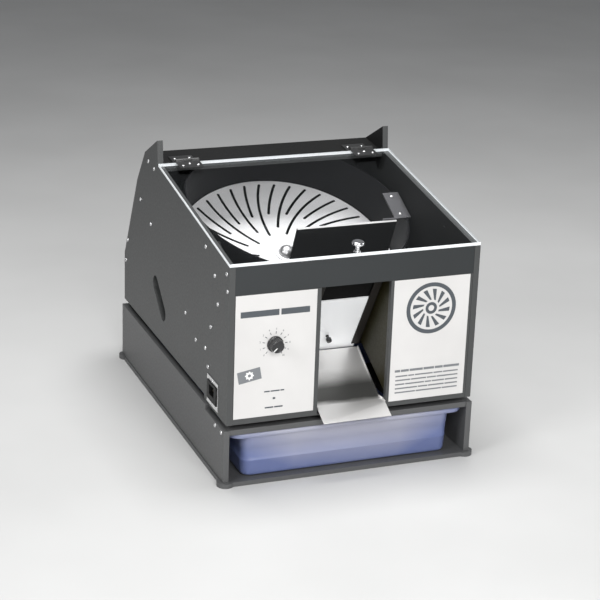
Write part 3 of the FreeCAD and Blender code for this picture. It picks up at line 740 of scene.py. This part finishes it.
FINGER_PROFILE = [(0, 0), (4.0, 0), (4.0, 3.4), (4.6, 4.2), (6.8, 4.6), (8.4, 6.0), (8.9, 8.6),
                  (8.9, 12.0), (8.5, 14.6), (7.0, 16.3), (4.6, 16.9), (0, 17.0)]
DOOR_KNOB_PROFILE = [(0, 0), (3.4, 0), (3.0, 1.2), (2.8, 5.4), (3.6, 6.2), (5.2, 7.0), (5.5, 8.6),
                     (5.5, 13.0), (5.0, 14.4), (3.4, 15.0), (0, 15.0)]


def add_small_knobs():
    finger = revolved("hub_finger_knob", [(r * MM, z * MM) for r, z in FINGER_PROFILE], 48)
    aim(finger, on_table(19, 0, 0), TABLE_AXIS)
    dress(finger, "table_rotor", "knob_plastic")
    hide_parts("hub_knob")

    low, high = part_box("door_knob")
    outward = Vector((0, -math.cos(WALL_LEAN), -math.sin(WALL_LEAN)))
    middle = (low + high) / 2
    knob = revolved("door_pull", [(r * MM, z * MM) for r, z in DOOR_KNOB_PROFILE], 40)
    aim(knob, middle - outward * 7.5 * MM, outward)
    dress(knob, "door", "knob_plastic")
    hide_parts("door_knob")


add_dial()
add_small_knobs()


# ---- placard printing ---------------------------------------------------------------------------
PRINT_T = 0.2 * MM


def flat_bars(bm, bars, face_y):
    """Thin raised rectangles on a front face; each bar is (x, z, width, height, turn) in mm."""
    for x, z, width, height, turn in bars:
        c, s = math.cos(math.radians(turn)), math.sin(math.radians(turn))
        corners = []
        for u, v in ((-1, -1), (1, -1), (1, 1), (-1, 1)):
            du, dv = u * width / 2, v * height / 2
            corners.append((x + du * c - dv * s, z + du * s + dv * c))
        add_print(bm, corners, face_y)


def flat_arc(bm, centre, radii, angles, face_y, twist=0.0):
    """A thin raised piece of a ring, optionally swept sideways towards its outer edge."""
    steps = max(2, int(abs(angles[1] - angles[0]) / 4))
    for step in range(steps):
        a0 = angles[0] + (angles[1] - angles[0]) * step / steps
        a1 = angles[0] + (angles[1] - angles[0]) * (step + 1) / steps
        corners = []
        inner, outer = radii
        for radius, angle in ((inner, a0), (outer, a0 + twist), (outer, a1 + twist), (inner, a1)):
            turn = math.radians(angle)
            corners.append((centre[0] + radius * math.cos(turn), centre[1] + radius * math.sin(turn)))
        add_print(bm, corners, face_y)


def add_print(bm, corners, face_y):
    rows = []
    for y in (face_y - PRINT_T, face_y + 0.1 * MM):
        rows.append([bm.verts.new((x * MM, y, z * MM)) for x, z in corners])
    front, back = rows
    bm.faces.new(front)
    bm.faces.new(back[::-1])
    for i in range(len(corners)):
        j = (i + 1) % len(corners)
        bm.faces.new((front[i], back[i], back[j], front[j]))


def word_bars(left, right, z, height, words, gap=1.6):
    """A line of print suggested by bars, one for each word length in the list."""
    unit = (right - left - gap * (len(words) - 1)) / sum(words)
    bars = []
    x = left
    for word in words:
        bars.append((x + word * unit / 2, z, word * unit, height, 0))
        x += word * unit + gap
    return bars


def add_digits(dial_x, dial_z, face_y):
    """The scale's numbers, 0 to 10, set in Blender's own plain font."""
    pieces = []
    for number in range(11):
        curve = bpy.data.curves.new("digit", "FONT")
        curve.body = str(number)
        curve.size = 5.2 * MM
        curve.align_x = "CENTER"
        curve.align_y = "CENTER"
        curve.extrude = PRINT_T / 2
        text = bpy.data.objects.new("digit", curve)
        bpy.context.scene.collection.objects.link(text)
        bpy.context.view_layer.update()
        mesh = bpy.data.meshes.new_from_object(text)
        bpy.data.objects.remove(text)
        turn = math.radians(DIAL_OFF_ANGLE - DIAL_STEP * number)
        place = Vector(((dial_x + 30 * math.cos(turn)) * MM, face_y, (dial_z + 30 * math.sin(turn)) * MM))
        mesh.transform(Matrix.Translation(place) @ Matrix.Rotation(math.pi / 2, 4, "X"))
        digit = bpy.data.objects.new("digit", mesh)
        bpy.context.scene.collection.objects.link(digit)
        pieces.append(digit)
    return dress(merged(pieces, "dial_numbers"), "frame", "placard", PRINT_DARK)


def add_left_print():
    low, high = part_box("placard_left")
    x0, x1, z1 = low.x / MM, high.x / MM, high.z / MM
    middle = (x0 + x1) / 2
    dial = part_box("dial_knob")
    dial_x, dial_z = [(dial[0][axis] + dial[1][axis]) / 2 / MM for axis in (0, 2)]
    dark = bmesh.new()
    flat_bars(dark, word_bars(x0 + 10, x1 - 14, z1 - 38, 12, (4, 3), 4), low.y)
    for tick in range(11):
        angle = DIAL_OFF_ANGLE - DIAL_STEP * tick
        flat_arc(dark, (dial_x, dial_z), (20, 25), (angle - 1.6, angle + 1.6), low.y)
    flat_bars(dark, word_bars(middle - 20, middle + 20, z1 - 196, 2.6, (3, 5, 2)), low.y)
    flat_bars(dark, [(middle, z1 - 211, 5, 4, 0)], low.y)
    flat_bars(dark, word_bars(middle - 18, middle + 18, z1 - 229, 2.8, (4, 4)), low.y)
    dress(finish_mesh(dark, "placard_left_print"), "frame", "placard", PRINT_DARK)

    soft = bmesh.new()
    centre = (x0 + 30, z1 - 160)
    flat_bars(soft, [(*centre, 46, 24, 10)], low.y)
    dress(finish_mesh(soft, "placard_left_label"), "frame", "placard", PRINT_SOFT)

    pale = bmesh.new()
    label_face = low.y - PRINT_T - 0.05 * MM
    flat_arc(pale, centre, (3.2, 7.0), (0, 360), label_face)
    for spoke in range(8):
        flat_arc(pale, centre, (6.6, 8.8), (45 * spoke - 9, 45 * spoke + 9), label_face)
    dress(finish_mesh(pale, "placard_left_symbol"), "frame", "placard", POINTER_WHITE)
    add_digits(dial_x, dial_z, low.y)


def add_right_print():
    """A turntable symbol above, and lines of small print suggested by bars below."""
    low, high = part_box("placard_right")
    x0, x1, z1 = low.x / MM, high.x / MM, high.z / MM
    centre = ((x0 + x1) / 2, z1 - 62)
    dark = bmesh.new()
    flat_arc(dark, centre, (44, 52), (0, 360), low.y)
    flat_arc(dark, centre, (6, 12), (0, 360), low.y)
    for blade in range(12):
        angle = 30 * blade
        flat_arc(dark, centre, (17, 39), (angle, angle + 13), low.y, 16)
    dress(finish_mesh(dark, "placard_right_symbol"), "frame", "placard", PRINT_DARK)

    soft = bmesh.new()
    flat_bars(soft, word_bars(x0 + 10, x1 - 12, z1 - 186, 4.8, (2, 3, 5, 4, 3, 6)), low.y)
    line_words = ((4, 2, 6, 3, 5), (5, 5, 3, 7), (3, 6, 2, 4, 4), (7, 3, 5, 4), (4, 5, 3))
    for line, words in enumerate(line_words):
        flat_bars(soft, word_bars(x0 + 12, x1 - 14, z1 - 197 - 8.5 * line, 2.8, words), low.y)
    dress(finish_mesh(soft, "placard_right_lines"), "frame", "placard", PRINT_SOFT)


add_left_print()
add_right_print()


# ---- collection tub -----------------------------------------------------------------------------
def rounded_loop(half, y0, y1, radius, steps=10):
    """Plan outline in millimetres with rounded corners, always with the same number of points."""
    points = []
    for cx, cy, start in ((half - radius, y1 - radius, 0), (-half + radius, y1 - radius, 90),
                          (-half + radius, y0 + radius, 180), (half - radius, y0 + radius, 270)):
        for step in range(steps + 1):
            turn = math.radians(start + 90 * step / steps)
            points.append((cx + radius * math.cos(turn), cy + radius * math.sin(turn)))
    return points


TUB_FOOT_Z, TUB_TOP_Z = 9.6, 103.0
TUB_FRONT, TUB_BACK = 4.0, 612.0


def tub_level(z, inset):
    """One ring of the tapered body at a height, moved inwards from its outside."""
    share = (z - TUB_FOOT_Z) / (TUB_TOP_Z - TUB_FOOT_Z)
    grow = 3 * share
    y0 = TUB_FRONT + 9 - grow + inset
    y1 = TUB_BACK - 9 + grow - inset
    return (215 + 4 * share - inset, y0, y1, 20 - inset, z)


def rim_level(z, inset):
    return (244 - inset, TUB_FRONT + inset, TUB_BACK - inset, 26 - inset, z)


def add_tub():
    """Moulded tub: rounded foot, two stiffening steps, a turned-down rim with a soft bead."""
    levels = [tub_level(9.6, 7), tub_level(9.9, 4.6), tub_level(11.2, 2.0), tub_level(13.6, 0.6),
              tub_level(17, 0.35), tub_level(40, 0.35), tub_level(41, 0.0), tub_level(43.5, 0.0),
              tub_level(44.5, 0.9), tub_level(70, 0.9), tub_level(71, 0.35), tub_level(86, 0.35),
              tub_level(87.5, 0.0), tub_level(99.4, 0.0), rim_level(100.2, 21.5), rim_level(100.4, 4.4),
              rim_level(99.6, 2.9), rim_level(97.0, 2.3), rim_level(94.6, 2.3), rim_level(94.0, 1.6),
              rim_level(94.0, 0.7), rim_level(94.6, 0.1), rim_level(100.4, 0.0), rim_level(102.2, 0.7),
              rim_level(103.0, 2.6), rim_level(103.0, 5.5), rim_level(102.2, 7.5), rim_level(102.2, 20.0),
              tub_level(102.6, 1.4), tub_level(102.0, 2.6), tub_level(100.0, 3.0), tub_level(18.0, 3.2),
              tub_level(14.4, 4.2), tub_level(12.9, 7.0), tub_level(12.6, 11.0)]
    bm = bmesh.new()
    loops = []
    for half, y0, y1, radius, z in levels:
        loops.append([bm.verts.new(at(x, y, z)) for x, y in rounded_loop(half, y0, y1, radius)])
    skin(bm, loops)
    tub = finish_mesh(bm, "tub_moulding", 50)
    dress(tub, "tub", "tub_plastic")
    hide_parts("collection_tub")


add_tub()


# ---- feet and drive -----------------------------------------------------------------------------
def add_feet():
    """Ribbed rubber posts between the base and the housing."""
    feet = []
    for points in islands("housing_feet"):
        low, high = span(points)
        tall = (high.z - low.z) / MM
        profile = [(0, 0), (14.6, 0), (15, 0.6), (15, 2.6)]
        for rib in range(3):
            z = 3.4 + rib * (tall - 6.8) / 3
            profile += [(13.2, z), (13.2, z + 2.4), (14.8, z + 3.4), (14.8, z + (tall - 6.8) / 3 - 0.6)]
        profile += [(15, tall - 2.6), (15, tall - 0.6), (14.6, tall), (0, tall)]
        foot = revolved("foot", [(r * MM, z * MM) for r, z in profile], 48)
        feet.append(aim(foot, Vector(((low.x + high.x) / 2, (low.y + high.y) / 2, low.z)), UP))
    posts = dress(merged(feet, "housing_posts"), "frame", "foot_rubber")
    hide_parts("housing_feet")


def turned_pulley(node, centre_along, radius, bore):
    """A flanged belt pulley with a lightened face, turned from bar."""
    web = radius * 0.72
    profile = [(bore, 0), (radius - 0.6, 0), (radius, 0.6), (radius, 2.4), (radius - 2.2, 3.0),
               (radius - 2.2, 17.0), (radius, 17.6), (radius, 19.4), (radius - 0.6, 20), (web, 20),
               (web - 1, 16), (bore + 7, 16), (bore + 6, 20), (bore + 0.5, 20), (bore, 19.5), (bore, 0)]
    pulley = revolved(node + "_turned", [(r * MM, z * MM) for r, z in profile], 96)
    aim(pulley, on_table(0, centre_along, -70), TABLE_AXIS)
    dress(pulley, NODE_BODY[node], SUBPARTS[node])
    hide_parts(node)


add_feet()
turned_pulley("driven_pulley", 0, 60.0, 8.0)
turned_pulley("motor_pulley", 120, 24.0, 6.0)


# ---- camera, lights and floor -------------------------------------------------------------------
CAMERA_PLACE = Vector((-1.2851, -3.2898, 1.5133))
CAMERA_YAW = -21.63             # this and the next two are in degrees
CAMERA_PITCH = -19.88
CAMERA_ROLL = -2.05
CAMERA_LENS = 51.9 * 2.1        # millimetres; 2.1 times longer than fitted, so that the part fills the view


def add_camera():
    camera = bpy.data.objects.new("camera", bpy.data.cameras.new("camera"))
    bpy.context.scene.collection.objects.link(camera)
    turn = Matrix.Rotation(math.radians(CAMERA_YAW), 4, "Z")
    turn = turn @ Matrix.Rotation(math.radians(CAMERA_PITCH), 4, "X")
    turn = turn @ Matrix.Rotation(math.radians(CAMERA_ROLL), 4, "Y")
    camera.matrix_world = Matrix.Translation(CAMERA_PLACE) @ turn @ Matrix.Rotation(math.pi / 2, 4, "X")
    camera.data.lens = CAMERA_LENS
    camera.data.sensor_width = 36
    camera.data.clip_end = 30
    bpy.context.scene.camera = camera


def soft_light(name, place, size, power):
    light = bpy.data.lights.new(name, "AREA")
    light.shape = "RECTANGLE"
    light.size, light.size_y = size
    light.energy = power
    lamp = bpy.data.objects.new(name, light)
    bpy.context.scene.collection.objects.link(lamp)
    toward = Vector((0, 0, 0.3)) - Vector(place)
    lamp.matrix_world = Matrix.Translation(place) @ toward.to_track_quat("-Z", "Y").to_matrix().to_4x4()


def add_studio():
    bm = bmesh.new()
    bmesh.ops.create_grid(bm, x_segments=1, y_segments=1, size=12)
    floor = finish_mesh(bm, "studio_floor")
    material, shader = shader_of("studio_floor", (0.5, 0.5, 0.495), 0.7)
    vary(material, noise(material, 2, 3), (0.48, 0.48, 0.475), (0.52, 0.52, 0.515),
         shader.inputs["Base Color"])
    floor.data.materials.append(material)
    soft_light("key", (-2.6, -1.2, 1.9), (1.2, 1.4), 48)
    soft_light("front_fill", (-0.2, -3.6, 1.0), (2.2, 1.0), 46)
    soft_light("chamber", (-0.3, -2.6, 1.9), (1.4, 0.8), 46)
    soft_light("right_fill", (2.8, -0.6, 1.8), (1.4, 1.8), 18)
    soft_light("overhead", (0, 0.1, 2.7), (1.4, 1.0), 62)
    world = bpy.data.worlds.new("studio")
    bpy.context.scene.world = world
    world.use_nodes = True
    world.node_tree.nodes["Background"].inputs["Color"].default_value = (0.9, 0.92, 0.95, 1)
    world.node_tree.nodes["Background"].inputs["Strength"].default_value = 0.22


add_camera()
add_studio()
bpy.context.scene.view_settings.view_transform = "Standard"
